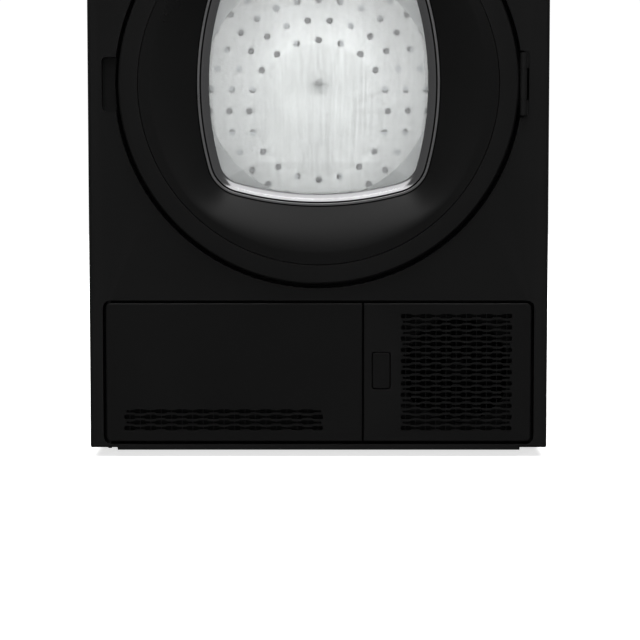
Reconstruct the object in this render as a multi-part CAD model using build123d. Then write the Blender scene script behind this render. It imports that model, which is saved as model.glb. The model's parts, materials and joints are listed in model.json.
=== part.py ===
"""Condenser clothes dryer, front loading, built as separate sub-parts.

Frame: +Z up, the front faces -Y, +X is on the right seen from the front.
The origin is at the bottom centre of the bounding box, on the floor. Millimetres.
"""
from build123d import *
import math
import os

# Overall size
WIDTH = 597.0
HEIGHT = 845.0
DEPTH = 600.0
HALF_W = WIDTH / 2
REAR_Y = DEPTH / 2

# Front face and the planes behind it
FRONT_Y = -280.0            # face of the front panel
FRAME_Y = -262.0            # rear edge of the front panel's returns
DOOR_FACE_Y = -286.0        # face of the door, proud of the front panel
BULKHEAD_Y = -240.0         # face of the front bulkhead
BASE_WALL_Y = -250.0        # face of the wall behind the kickplate
PANEL_BACK_Y = 270.0        # rear panel, inner face
SHEET = 1.0                 # sheet steel
GAP = 4.0                   # shadow gap around the kickplate panels
KICK_CORNER = 6.5           # corner radius of the kickplate panels

# Heights
BASE_Z = 9.0                # underside of the front panel
LEG_Z = 10.3                # underside of the front panel's corners
TRAY_Z = 13.0               # underside of the base tray
KICK_LOW = 20.3
KICK_HIGH = 201.0
FASCIA_LOW = 757.5
FASCIA_HIGH = 821.5
WORKTOP_LOW = 822.0

# Door, centred on x = 0
DOOR_Z = 485.0
HOLE_R = 263.65             # opening in the front panel
RING_R = 258.35             # outer ring of the door
SEAM_R = 233.6              # seam between the ring and the surround
WINDOW_HALF = 159.0         # half height and half width of the cushion-shaped window
WINDOW_SIDE_R = 415.0       # radius of the window's four long sides
WINDOW_CORNER_R = 50.0
LOAD_R = 190.0              # loading opening in the bulkhead
HINGE_X = 264.5
HINGE_Y = -283.0
PIN_R = 3.0
RUN_FIT = 0.05              # radial clearance of a running fit

# Kickplate panels
KICK_X = 277.0
SEAM_X = 58.0
SEAM_GAP = 2.0
FLAP_PIN_X = -273.0
FLAP_PIN_Y = -275.5
FLAP_PIN_R = 2.5
BUTTON_X = (70.5, 92.9)
BUTTON_Z = (89.9, 136.6)

# Vent slots: a slot swells and narrows along its length, rows are staggered by half a period
SLOT_WIDE = 6.0
SLOT_NARROW = 3.0
SWELL = 13.0                # length of a wide stretch
SLOPE = 1.6                 # length of the change between wide and narrow
END_CUT = 1.4               # corner cut of a wide end
ROW_PITCH = 7.35

# Drum and its drive
DRUM_Z = 455.0
DRUM_R = 283.0
DRUM_WALL = 0.8
DRUM_FRONT = -190.0
DRUM_BACK = 216.5
LIP_R = 240.0
ROLLER_R = 25.0
ROLLER_X = 140.0
SHAFT_X = 181.0             # motor shaft, parallel to the drum's axis
SHAFT_Z = 110.0
PULLEY_R = 9.0
IDLER_R = 18.0
IDLER_X = 100.0
IDLER_Z = 140.0
ARM_X = 150.0               # pivot of the tension arm
ARM_Z = 150.0
BELT_Y = (36.0, 44.0)
CLEAR = 0.3
ROLLER_Z = DRUM_Z - math.sqrt((DRUM_R + CLEAR + ROLLER_R) ** 2 - ROLLER_X ** 2)

# Condenser latches: lever pivots above the heat exchanger
LATCH_X = (-225.0, -55.0)
LATCH_Z = 161.0

# Water tank
TANK_X = (-287.8, -110.2)
TANK_Z = (764.2, 814.8)

# Controls on the fascia; keys: centre x, centre z, width, height
KNOB_Z = 789.5
SCREEN_X = (118.0, 212.0)
SCREEN_Z = (772.0, 807.0)
KEYS = {
    "start_button": (258, KNOB_Z, 44, 24),
    "option_button": (76, KNOB_Z, 40, 16),
}

# Feet and cord inlet
FOOT_X = 240.0
FOOT_FRONT_Y = -192.0
FOOT_REAR_Y = 228.0
FOOT_STUD_R = 4.0
CORD_X = 235.0
CORD_Z = 190.0


# ---------------------------------------------------------------- helpers

def block(x0, x1, y0, y1, z0, z1):
    """Box between two corners."""
    size = Box(x1 - x0, y1 - y0, z1 - z0)
    return Pos((x0 + x1) / 2, (y0 + y1) / 2, (z0 + z1) / 2) * size


def rod(radius, y0, y1, x, z):
    """Cylinder along Y."""
    return Pos(x, (y0 + y1) / 2, z) * Rot(90, 0, 0) * Cylinder(radius, y1 - y0)


def tube(outer, inner, y0, y1, x, z):
    """Ring along Y."""
    return rod(outer, y0, y1, x, z) - rod(inner, y0 - 1, y1 + 1, x, z)


def post(radius, z0, z1, x, y):
    """Cylinder along Z."""
    return Pos(x, y, (z0 + z1) / 2) * Cylinder(radius, z1 - z0)


def slab(sketch, y0, y1):
    """Sketch drawn in the XZ plane, extruded from y0 to y1."""
    return extrude(Plane.XZ.offset(-y1) * sketch, y1 - y0, dir=(0, -1, 0))


def turned(profile, x, z):
    """Closed (radius, y) profile turned about a line parallel to Y."""
    return Pos(x, 0, z) * revolve(Polygon(*profile, align=None), Axis.Y)


def rounded(x0, x1, z0, z1, radius):
    """Rounded rectangle in the XZ plane."""
    return Pos((x0 + x1) / 2, (z0 + z1) / 2) * RectangleRounded(x1 - x0, z1 - z0, radius)


def polar(radius, degrees):
    return radius * math.cos(math.radians(degrees)), radius * math.sin(math.radians(degrees))


def at_plane(shape, axis, value):
    """Edges that lie in one plane."""
    return shape.edges().filter_by_position(axis, value - 0.01, value + 0.01)


def fuse(shapes):
    whole = shapes[0]
    for shape in shapes[1:]:
        whole += shape
    return whole


def cushion(inset):
    """Outline of the window: four long arcs with rounded corners, inset evenly."""
    reach = WINDOW_HALF - inset
    side = WINDOW_SIDE_R - inset
    discs = [Pos(*polar(side - reach, 90 * turn)) * Circle(side) for turn in range(4)]
    outline = discs[0] & discs[1] & discs[2] & discs[3]
    return fillet(outline.vertices(), WINDOW_CORNER_R - inset)


# ---------------------------------------------------------------- vents

def slot_row(first, count, period, wide_ends, inset):
    """One vent slot along X, from the centre of its first wide stretch."""
    half = SWELL / 2
    narrow = SLOT_NARROW / 2
    wide = SLOT_WIDE / 2
    upper = []
    for step in range(count):
        centre = first + step * period
        upper.append((centre - half - SLOPE, narrow))
        upper.append((centre - half, wide))
        upper.append((centre + half, wide))
        upper.append((centre + half + SLOPE, narrow))
    if wide_ends:
        start = upper[1][0]
        end = upper[-2][0]
        upper = [(start, wide - END_CUT), (start + END_CUT, wide)] + upper[2:-2]
        upper += [(end - END_CUT, wide), (end, wide - END_CUT)]
    else:
        start = first - period / 2 - half + inset
        end = first + (count - 1) * period + period / 2 + half - inset
        upper = [(start, narrow)] + upper + [(end, narrow)]
    lower = [(x, -z) for x, z in reversed(upper)]
    return Polygon(*(upper + lower), align=None)


def vent(x0, top, rows, count, period, wide_first):
    """Sketch of a field of staggered vent slots."""
    first = x0 + SWELL / 2
    slots = []
    for row in range(rows):
        wide = (row % 2 == 0) == wide_first
        start = first if wide else first + period / 2
        number = count if wide else count - 1
        slot = slot_row(start, number, period, wide, 2.6)
        slots.append(Pos(0, top - row * ROW_PITCH) * slot)
    return slots


def vent_ribs(x0, count, period, z0, z1):
    """Thin upright ribs behind a vent, one behind each narrow stretch."""
    ribs = []
    for step in range(2 * count - 1):
        x = x0 + SWELL / 2 + step * period / 2
        ribs.append(block(x - 0.5, x + 0.5, FRONT_Y + 2.0, FRONT_Y + 6.0, z0, z1))
    return ribs


def kick_panel(x0, x1, radii, slots, ribs):
    """Moulded panel with a rim, cut by vent slots."""
    low_left, low_right = radii
    outer = block(x0, x1, FRONT_Y, FRONT_Y + 10, KICK_LOW, KICK_HIGH)
    sides = outer.edges().filter_by(Axis.Y)
    if low_left:
        outer = fillet(sides.filter_by_position(Axis.X, x0 - 1, x0 + 1), low_left)
    if low_right:
        outer = fillet(sides.filter_by_position(Axis.X, x1 - 1, x1 + 1), low_right)
    outer = fillet(at_plane(outer, Axis.Y, FRONT_Y), 1.2)
    hollow = block(x0 + 3, x1 - 3, FRONT_Y + 3, FRONT_Y + 11, KICK_LOW + 3, KICK_HIGH - 3)
    panel = outer - hollow
    cutters = [slab(slot, FRONT_Y - 1, FRONT_Y + 4) for slot in slots]
    panel = panel - cutters
    return panel + ribs


def kickplate_flap():
    slots = vent(-253.7, 59.6, 4, 10, 27.4, False)
    ribs = vent_ribs(-253.7, 10, 27.4, 32, 65)
    flap = kick_panel(-KICK_X, SEAM_X - SEAM_GAP / 2, (KICK_CORNER, 0), slots, ribs)
    knuckle = block(-KICK_X + 2.5, -268, FRONT_Y + 2, FRONT_Y + 9.5, KICK_LOW + 2, KICK_HIGH - 2)
    tongue = block(46, 50, FRONT_Y + 2, FRAME_Y + 4, 104, 122)
    hook = block(46, 54, FRAME_Y + 1, FRAME_Y + 4, 104, 122)
    flap = flap + knuckle + tongue + hook
    for z0, z1 in ((KICK_LOW - 1, KICK_LOW + 14), (KICK_HIGH - 14, KICK_HIGH + 1)):
        flap -= post(FLAP_PIN_R + RUN_FIT, z0, z1, FLAP_PIN_X, FLAP_PIN_Y)
    return flap


def vent_panel():
    slots = vent(107.3, 184.4, 21, 6, 26.4, True)
    ribs = vent_ribs(107.3, 6, 26.4, 33, 189)
    panel = kick_panel(SEAM_X + SEAM_GAP / 2, KICK_X, (0, KICK_CORNER), slots, ribs)
    x0, x1 = BUTTON_X
    z0, z1 = BUTTON_Z
    sleeve = slab(rounded(x0 - 3, x1 + 3, z0 - 3, z1 + 3, 5.4), FRONT_Y + 2, FRONT_Y + 10)
    hole = slab(rounded(x0 - 1.2, x1 + 1.2, z0 - 1.2, z1 + 1.2, 3.6), FRONT_Y - 1, FRONT_Y + 11)
    clips = [block(x, x + 12, FRONT_Y + 2, BASE_WALL_Y, z, z + 3)
             for x in (70, 240) for z in (26, 192)]
    return panel + sleeve - hole + clips


def latch_button():
    x0, x1 = BUTTON_X
    z0, z1 = BUTTON_Z
    key = slab(rounded(x0, x1, z0, z1, 2.4), FRONT_Y + 0.3, FRONT_Y + 12)
    return fillet(at_plane(key, Axis.Y, FRONT_Y + 0.3), 0.8)


# ---------------------------------------------------------------- cabinet

def base_tray():
    """Plastic base moulding: floor, walls and condenser tunnel."""
    rear = PANEL_BACK_Y - SHEET - 0.5
    low = TRAY_Z
    floor = block(-285, 285, BASE_WALL_Y, rear, low, low + 3)
    left = block(-285, -282, BASE_WALL_Y, rear, low, 150)
    right = block(282, 285, BASE_WALL_Y, rear, low, 150)
    back = block(-285, 285, rear - 3, rear, low, 150)
    front = block(-285, 285, BASE_WALL_Y, BASE_WALL_Y + 3, low, 204)
    tunnel_side = block(-21, -18, BASE_WALL_Y, 170, low, 150)
    tunnel_wall = block(-262, -259, BASE_WALL_Y, 170, low, 150)
    tunnel_roof = block(-262, -18, BASE_WALL_Y, 170, 147, 150)
    ledge = block(-279, 279, FRAME_Y + 0.4, BASE_WALL_Y + 1, low, low + 2.5)
    whole = fuse([floor, left, right, back, front, tunnel_side, tunnel_wall, tunnel_roof])
    whole += ledge
    whole -= block(-256, -24, BASE_WALL_Y - 1, BASE_WALL_Y + 5, 30, 145)
    whole -= rod(70, BASE_WALL_Y - 1, BASE_WALL_Y + 5, SHAFT_X, SHAFT_Z)
    for side in (-1, 1):
        whole += post(12, low, 30, side * FOOT_X, FOOT_FRONT_Y)
        whole -= post(FOOT_STUD_R + RUN_FIT, low - 1, 31, side * FOOT_X, FOOT_FRONT_Y)
    return whole


def front_foot(side):
    """Levelling foot: pad and threaded stud."""
    pad = fillet(at_plane(post(19, 0, 8, side * FOOT_X, FOOT_FRONT_Y), Axis.Z, 8), 2)
    stud = post(FOOT_STUD_R, 7, 29, side * FOOT_X, FOOT_FRONT_Y)
    nut = Pos(side * FOOT_X, FOOT_FRONT_Y, 7.5) * extrude(RegularPolygon(8, 6), 4)
    return pad + stud + nut


def rear_feet():
    return [post(19, 0, TRAY_Z, side * FOOT_X, FOOT_REAR_Y) for side in (-1, 1)]


def side_panel(side):
    """Pressed steel side with a shallow sunk field and turned-in edges."""
    outer = HALF_W
    rear = PANEL_BACK_Y + SHEET
    skin = block(outer - SHEET, outer, FRAME_Y + 0.5, rear, 12, FASCIA_HIGH)
    plane = Plane(origin=(outer, 5, 430), x_dir=(0, 1, 0), z_dir=(-1, 0, 0))
    sunk = extrude(plane * RectangleRounded(400, 560, 24), 2.0, taper=45)
    cover = extrude(plane * RectangleRounded(402, 562, 25), 2.0 + SHEET, taper=45)
    panel = skin + cover - sunk
    panel += block(outer - 13, outer, FRAME_Y + 0.5, rear, 12, 12 + SHEET)
    panel += block(outer - 16, outer, PANEL_BACK_Y - SHEET, PANEL_BACK_Y, 12, FASCIA_HIGH)
    return panel if side > 0 else mirror(panel, Plane.YZ)


def rear_panel():
    """Sheet steel back with a large air opening and rows of slots."""
    front = PANEL_BACK_Y - 1
    back = PANEL_BACK_Y + SHEET + 1
    plate = block(-296, 296, PANEL_BACK_Y, PANEL_BACK_Y + SHEET, 14, FASCIA_HIGH)
    cuts = [slab(rounded(-190, 190, 230, 690, 120), front, back)]
    for row in range(6):
        z = 60 + 14 * row
        cuts.append(slab(rounded(70, 190, z, z + 5, 2.4), front, back))
    for row in range(5):
        z = 760 + 9 * row
        cuts.append(slab(rounded(-250, -150, z, z + 4, 1.9), front, back))
        cuts.append(slab(rounded(-130, -30, z, z + 4, 1.9), front, back))
    return plate - cuts - rod(9.0, front, back, CORD_X, CORD_Z)


def rear_duct_cover():
    """Pressed dish over the hot air chamber, with three ring-shaped beads."""
    face = PANEL_BACK_Y + SHEET
    back = Plane.XZ.offset(-face)
    rim = slab(rounded(-212, 212, 208, 712, 135), face, face + SHEET)
    dish = extrude(back * rounded(-196, 196, 224, 696, 124), -(REAR_Y - face), taper=20)
    inside = extrude(back * rounded(-195, 195, 225, 695, 123), -(REAR_Y - face - SHEET), taper=20)
    radii = (40, 90, 140)
    beads = [tube(radius + 6, radius - 1, REAR_Y - 3, REAR_Y - 0.5, 0, 460) for radius in radii]
    grooves = [tube(radius + 5, radius, REAR_Y - 2, REAR_Y + 1, 0, 460) for radius in radii]
    return rim + dish - inside + beads - grooves


def front_panel():
    """Steel front with the door opening, a finger pocket and the kickplate opening."""
    outer = block(-HALF_W, HALF_W, FRONT_Y, FRAME_Y, BASE_Z, FASCIA_LOW - 0.5)
    outer -= [block(side * 285 - 20, side * 285 + 20, FRONT_Y - 1, FRAME_Y + 1, 0, LEG_Z) for side in (-1, 1)]
    lower = [edge for edge in outer.edges().filter_by(Axis.Y)
             if edge.center().Z < LEG_Z + 1 and abs(edge.center().X) > HALF_W - 1]
    outer = fillet(lower, 4.5)
    outer = fillet(at_plane(outer, Axis.Y, FRONT_Y).filter_by(Axis.Z), 5)
    inner = block(-HALF_W + SHEET, HALF_W - SHEET, FRONT_Y + SHEET, FRAME_Y + 1, 0, FASCIA_LOW - 0.5 - SHEET)
    inner = fillet(at_plane(inner, Axis.Y, FRONT_Y + SHEET).filter_by(Axis.Z), 5 - SHEET)
    kick_x = KICK_X + GAP
    kick_low = KICK_LOW - GAP
    kick_top = KICK_HIGH + GAP
    collar = tube(HOLE_R + 1.5, HOLE_R, FRONT_Y + 0.5, FRONT_Y + 16, 0, DOOR_Z)
    flange = rounded(-kick_x - 1.5, kick_x + 1.5, kick_low - 1.5, kick_top + 1.5, KICK_CORNER + GAP + 1.5)
    kick_hole = rounded(-kick_x, kick_x, kick_low, kick_top, KICK_CORNER + GAP)
    panel = outer - inner + collar + slab(flange, FRONT_Y + 0.5, FRAME_Y)
    panel -= slab(kick_hole, FRONT_Y - 1, FRAME_Y + 1)
    panel -= rod(HOLE_R, FRONT_Y - 1, FRONT_Y + 30, 0, DOOR_Z)
    rim = [edge for edge in at_plane(panel, Axis.Y, FRONT_Y).filter_by(GeomType.CIRCLE)
           if abs(edge.radius - HOLE_R) < 0.01]
    panel = fillet(rim, 1.3)
    pocket = slab(rounded(-282, -254, 448, 522, 8), FRONT_Y + 0.5, FRONT_Y + 17.5)
    panel += pocket - rod(HOLE_R, FRONT_Y, FRONT_Y + 30, 0, DOOR_Z)
    panel -= slab(rounded(-280, -250, 450, 520, 6), FRONT_Y - 1, FRONT_Y + 15.5)
    panel -= slab(rounded(250, 272, 442, 528, 3), FRONT_Y - 1, FRONT_Y + 17)
    for z0, z1 in ((kick_low - 3, kick_low + 2), (kick_top - 2, kick_top + 3)):
        panel -= post(FLAP_PIN_R, z0, z1, FLAP_PIN_X, FLAP_PIN_Y)
    return panel


def worktop():
    board = block(-HALF_W, HALF_W, -289, 274, WORKTOP_LOW, HEIGHT)
    board = fillet(board.edges().filter_by(Axis.Z), 9)
    board = fillet(at_plane(board, Axis.Z, HEIGHT), 4.5)
    return board - block(-270, 270, -262, 248, WORKTOP_LOW - 1, WORKTOP_LOW + 7)


def control_fascia():
    """Moulded control panel with openings for the tank drawer, knob, display and keys."""
    outer = block(-HALF_W, HALF_W, DOOR_FACE_Y, FRAME_Y, FASCIA_LOW, FASCIA_HIGH)
    outer = fillet(at_plane(outer, Axis.Y, DOOR_FACE_Y).filter_by(Axis.Z), 7)
    outer += block(-HALF_W + 2, HALF_W - 2, FRAME_Y - 1, BULKHEAD_Y, FASCIA_LOW, FASCIA_HIGH)
    low = FASCIA_LOW + 2.5
    high = FASCIA_HIGH - 2.5
    inner = block(-HALF_W + 3, HALF_W - 3, DOOR_FACE_Y + 3, BULKHEAD_Y + 1, low, high)
    inner = fillet(at_plane(inner, Axis.Y, DOOR_FACE_Y + 3).filter_by(Axis.Z), 4)
    fascia = outer - inner
    x0, x1 = TANK_X
    z0, z1 = TANK_Z
    drawer = rounded(x0 - 1.2, x1 + 1.2, z0 - 1.2, z1 + 1.2, 4)
    fascia += block(x1 + 1.2, x1 + 3.7, DOOR_FACE_Y + 1, BULKHEAD_Y, FASCIA_LOW + 1, FASCIA_HIGH - 1)
    fascia -= slab(drawer, DOOR_FACE_Y - 1, BULKHEAD_Y + 1)
    fascia -= rod(5.4, DOOR_FACE_Y - 1, DOOR_FACE_Y + 5, 0, KNOB_Z)
    fascia -= tube(31, 28.5, DOOR_FACE_Y - 1, DOOR_FACE_Y + 0.6, 0, KNOB_Z)
    fascia -= slab(rounded(*SCREEN_X, *SCREEN_Z, 3), DOOR_FACE_Y - 1, DOOR_FACE_Y + 2)
    left, right = SCREEN_X
    bottom, top = SCREEN_Z
    fascia -= slab(rounded(left + 8, right - 8, bottom + 6, top - 6, 2), DOOR_FACE_Y - 1, DOOR_FACE_Y + 5)
    for x, z, width, height in KEYS.values():
        reach_x = width / 2 + 0.5
        reach_z = height / 2 + 0.5
        hole = rounded(x - reach_x, x + reach_x, z - reach_z, z + reach_z, 3.5)
        fascia -= slab(hole, DOOR_FACE_Y - 1, DOOR_FACE_Y + 5)
    return fascia


def fascia_key(x, z, width, height):
    face = slab(rounded(x - width / 2, x + width / 2, z - height / 2, z + height / 2, 3),
                DOOR_FACE_Y - 2, DOOR_FACE_Y + 6)
    return fillet(at_plane(face, Axis.Y, DOOR_FACE_Y - 2), 1.0)


def display_window():
    left, right = SCREEN_X
    bottom, top = SCREEN_Z
    pane = rounded(left + 0.4, right - 0.4, bottom + 0.4, top - 0.4, 2.6)
    return slab(pane, DOOR_FACE_Y + 0.2, DOOR_FACE_Y + 2)


def program_knob():
    """Knob with a raised grip bar, on a short stem."""
    profile = [(0, -300), (17, -300), (19.5, -298.5), (23.5, -288), (23.5, -286.6), (0, -286.6)]
    body = turned(profile, 0, KNOB_Z)
    grip = block(-4, 4, -300, -291, KNOB_Z - 19, KNOB_Z + 19)
    scallop = [block(side * 12 - 7.5, side * 12 + 7.5, -301, -296, KNOB_Z - 30, KNOB_Z + 30)
               for side in (-1, 1)]
    stem = rod(5.0, -287, -268, 0, KNOB_Z)
    return body - scallop + (grip & body) + stem


# ---------------------------------------------------------------- door

def door_outer_ring():
    front = DOOR_FACE_Y
    profile = [(SEAM_R + 0.25, front), (RING_R, front), (RING_R, FRAME_Y), (RING_R - 3, FRAME_Y),
               (RING_R - 3, front + 3), (SEAM_R + 3.25, front + 3), (SEAM_R + 3.25, FRAME_Y),
               (SEAM_R + 0.25, FRAME_Y)]
    ring = turned(profile, 0, DOOR_Z)
    edge = [e for e in at_plane(ring, Axis.Y, front) if e.radius > RING_R - 1]
    return fillet(edge, 2.4)


def door_surround():
    """Hollow-backed disc round the window: flat at its edge, curving in to the window."""
    front = DOOR_FACE_Y
    edge_r = SEAM_R - 0.25
    bell = [(edge_r, front), (222, front), (212, front + 0.6), (200, front + 2.2), (188, front + 4.8),
            (176, front + 8.4), (164, front + 13), (154, front + 17), (150, front + 19)]
    back = [(150, FRAME_Y), (187, FRAME_Y), (190, front + 7.6), (200, front + 5.2), (212, front + 3.6),
            (222, front + 3), (edge_r - 3, front + 3), (edge_r - 3, FRAME_Y), (edge_r, FRAME_Y)]
    disc = turned(bell + back, 0, DOOR_Z)
    return disc - slab(Pos(0, DOOR_Z) * cushion(0), front - 1, FRAME_Y + 1)


def door_window_trim():
    ring = cushion(0.5) - cushion(9)
    return slab(Pos(0, DOOR_Z) * ring, DOOR_FACE_Y + 12, FRAME_Y)


def door_window():
    return slab(Pos(0, DOOR_Z) * cushion(9.4), DOOR_FACE_Y + 15, DOOR_FACE_Y + 19)


def door_liner():
    """Inner door moulding that closes against the gasket, with a funnel to the inner glass."""
    outside = [(240, FRAME_Y), (240, -248), (232, -245.5), (186, -245.5), (176, -228), (160, -226),
               (150, -228), (150, -231)]
    funnel = [(183, FRAME_Y), (186, FRAME_Y), (156, -231.5)]
    inside = [(173, -231), (184.5, -248.5), (231, -248.5), (237, -250.5), (237, FRAME_Y)]
    return turned(outside + funnel + inside, 0, DOOR_Z)


def door_inner_glass():
    profile = [(0, -232), (149.6, -230.6), (149.6, -227.6), (0, -225.5)]
    return turned(profile, 0, DOOR_Z)


def door_hinge_arm():
    """Knuckle on the pin, and a leaf screwed behind the door ring."""
    low, high = DOOR_Z - 19.7, DOOR_Z + 19.7
    knuckle = post(4.6, low, high, HINGE_X, HINGE_Y)
    web = block(HINGE_X - 3.5, HINGE_X + 1.5, HINGE_Y, FRAME_Y + 3, low, high)
    leaf = block(236, HINGE_X + 1.5, FRAME_Y + 0.05, FRAME_Y + 3, low - 10, high + 10)
    liner_edge = rod(240.2, FRAME_Y - 1, FRAME_Y + 4, 0, DOOR_Z)
    return knuckle + web + (leaf - liner_edge) - post(PIN_R + RUN_FIT, low - 1, high + 1, HINGE_X, HINGE_Y)


def door_hinge_bracket():
    """Two knuckles that hold the pin, on a plate behind the front panel."""
    plate = block(266, 290, FRONT_Y + SHEET, FRONT_Y + SHEET + 3, DOOR_Z - 52, DOOR_Z + 52)
    whole = plate - block(260, 272.3, FRONT_Y - 8, FRONT_Y + 8, DOOR_Z - 20.4, DOOR_Z + 20.4)
    for side in (-1, 1):
        z0, z1 = sorted((DOOR_Z + side * 20.4, DOOR_Z + side * 40))
        lug = post(4.6, z0, z1, HINGE_X, HINGE_Y)
        arm = block(HINGE_X, 270.5, FRONT_Y - 3.5, FRONT_Y + SHEET + 3, z0, z1)
        whole += lug + arm
        whole -= post(PIN_R, z0 - 1, z1 + 1, HINGE_X, HINGE_Y)
    collar = rod(HOLE_R + 1.6, FRONT_Y + SHEET, FRAME_Y, 0, DOOR_Z)
    whole -= collar & block(240, 300, -290, -250, DOOR_Z - 60, DOOR_Z - 43)
    return whole - (collar & block(240, 300, -290, -250, DOOR_Z + 43, DOOR_Z + 60))


def hinge_pins():
    """Door hinge pin, the two pins of the kickplate flap and the studs of the condenser levers."""
    door_pin = post(PIN_R, DOOR_Z - 41, DOOR_Z + 41, HINGE_X, HINGE_Y)
    lower = post(FLAP_PIN_R, 11, KICK_LOW + 12, FLAP_PIN_X, FLAP_PIN_Y)
    upper = post(FLAP_PIN_R, KICK_HIGH - 12, KICK_HIGH + GAP + 1.5, FLAP_PIN_X, FLAP_PIN_Y)
    return [door_pin, lower, upper] + [latch_stud(x) for x in LATCH_X]


def door_latch_hook():
    stem = block(-224, -218, -245.5, -224, DOOR_Z - 9, DOOR_Z + 9)
    nose = block(-224, -215, -228, -224, DOOR_Z - 9, DOOR_Z + 9)
    return stem + nose


def door_lock():
    """Lock housing behind the bulkhead, with a pocket for the hook."""
    shell = block(-234, -206, BULKHEAD_Y + 3, BULKHEAD_Y + 29, DOOR_Z - 22, DOOR_Z + 22)
    return shell - block(-231, -209, BULKHEAD_Y + 2, BULKHEAD_Y + 22, DOOR_Z - 14, DOOR_Z + 14)


def door_gasket():
    """Rubber ring on the bulkhead, with a groove between two lips."""
    profile = [(194, BULKHEAD_Y), (196, -245.2), (199, -245.2), (200, -242.5), (202, -242.5),
               (203, -245.2), (206, -245.2), (208, BULKHEAD_Y)]
    return turned(profile, 0, DOOR_Z)


# ---------------------------------------------------------------- drum chamber

def front_bulkhead():
    """Front drum support: plate, loading collar, felt flange and filter duct."""
    plate = slab(rounded(-284, 284, 206, 748, 20), BULKHEAD_Y, BULKHEAD_Y + 3)
    plate += block(-200, 200, BULKHEAD_Y, BULKHEAD_Y + 3, 152, 220)
    collar = rod(LOAD_R + 3, BULKHEAD_Y, DRUM_FRONT - 7, 0, DOOR_Z)
    flange = rod(275, DRUM_FRONT - 10, DRUM_FRONT - 7, 0, DRUM_Z)
    duct = [block(side * 72.6 - 1.4, side * 72.6 + 1.4, BULKHEAD_Y + 1, DRUM_FRONT - 8, 206, 306)
            for side in (-1, 1)]
    duct.append(block(-74, 74, BULKHEAD_Y + 1, DRUM_FRONT - 8, 203, 206))
    whole = plate + collar + flange + duct
    whole -= rod(LOAD_R, BULKHEAD_Y - 1, DRUM_FRONT, 0, DOOR_Z)
    whole -= block(-70.8, 70.8, -217, -202, 206, 330)
    whole -= block(-230, -210, BULKHEAD_Y - 1, BULKHEAD_Y + 4, DOOR_Z - 13, DOOR_Z + 13)
    whole -= [rod(6, BULKHEAD_Y - 1, BULKHEAD_Y + 4, side * ROLLER_X, ROLLER_Z) for side in (-1, 1)]
    return whole - rod(68, BULKHEAD_Y - 1, BULKHEAD_Y + 4, SHAFT_X, SHAFT_Z)


def felt_seals():
    """Felt rings in front of and behind the drum."""
    front = tube(270, 243, DRUM_FRONT - 7, DRUM_FRONT - 0.4, 0, DRUM_Z)
    rear = tube(278, 262, DRUM_BACK + 0.4, 222, 0, DRUM_Z)
    return [front, rear]


def drum_shell():
    inner = DRUM_R - DRUM_WALL
    profile = [(LIP_R, DRUM_FRONT), (DRUM_R, DRUM_FRONT), (DRUM_R, DRUM_BACK), (inner, DRUM_BACK),
               (inner, DRUM_FRONT + DRUM_WALL), (LIP_R, DRUM_FRONT + DRUM_WALL)]
    return turned(profile, 0, DRUM_Z)


def drum_back():
    """Perforated rear wall of the drum with its welded shaft."""
    inner = DRUM_R - DRUM_WALL
    disc = rod(inner, DRUM_BACK - 1.2, DRUM_BACK, 0, DRUM_Z)
    holes = []
    for radius, count in ((100, 20), (130, 26), (160, 32), (190, 38)):
        for step in range(count):
            x, z = polar(radius, 360 * step / count)
            holes.append(rod(5, DRUM_BACK - 3, DRUM_BACK + 1, x, DRUM_Z + z))
    boss = rod(48, DRUM_BACK - 4, DRUM_BACK - 1, 0, DRUM_Z)
    shaft = rod(12, DRUM_BACK - 1, 256, 0, DRUM_Z)
    return disc - holes + boss + shaft


def drum_lifters():
    """Three hollow-backed fins that carry the laundry up."""
    inner = DRUM_R - DRUM_WALL

    def fin(half_foot, half_top, height, y0, y1):
        shoulder = height - 5
        right = [(half_foot, inner + 10), (half_foot, inner - 6), (half_top + 7, inner - shoulder),
                 (half_top, inner - height)]
        left = [(-x, z) for x, z in reversed(right)]
        return slab(Polygon(*(right + left), align=None), y0, y1)

    shell = (fin(38, 6, 41, -165, 190) - fin(35, 4.5, 38.5, -162, 187)) & rod(inner, -200, 230, 0, 0)
    return [Pos(0, 0, DRUM_Z) * Rot(0, angle, 0) * shell for angle in (0, 120, 240)]


def support_roller(side):
    wheel = tube(ROLLER_R, 6 + RUN_FIT, -184, -164, side * ROLLER_X, ROLLER_Z)
    groove = tube(ROLLER_R + 1, ROLLER_R - 1.5, -176, -172, side * ROLLER_X, ROLLER_Z)
    return wheel - groove


def roller_axles():
    return [rod(6, BULKHEAD_Y, -160, side * ROLLER_X, ROLLER_Z) for side in (-1, 1)]


def rear_bulkhead():
    """Steel wall behind the drum, with air windows and a bearing hub."""
    plate = block(-284, 284, 222, 223.2, 152, 752)
    ring = tube(205, 90, 221, 225, 0, DRUM_Z)
    windows = []
    for step in range(8):
        x, z = polar(150, 45 * step)
        windows.append(ring & (Pos(x, 223, DRUM_Z + z) * Rot(0, -45 * step, 0) * Box(130, 10, 60)))
    hub = rod(36, 222, 258, 0, DRUM_Z) - rod(33, 224, 252, 0, DRUM_Z) + rod(25, 222, 258, 0, DRUM_Z)
    return plate - windows + hub - rod(22, 221, 259, 0, DRUM_Z)


def rear_bearing():
    return tube(22, 12 + RUN_FIT, 226, 254, 0, DRUM_Z)


def heater_element():
    """Two heating rings in the hot air chamber."""
    return [Pos(0, 243, DRUM_Z) * Rot(90, 0, 0) * Torus(radius, 4) for radius in (120, 150)]


# ---------------------------------------------------------------- drive and air

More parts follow.
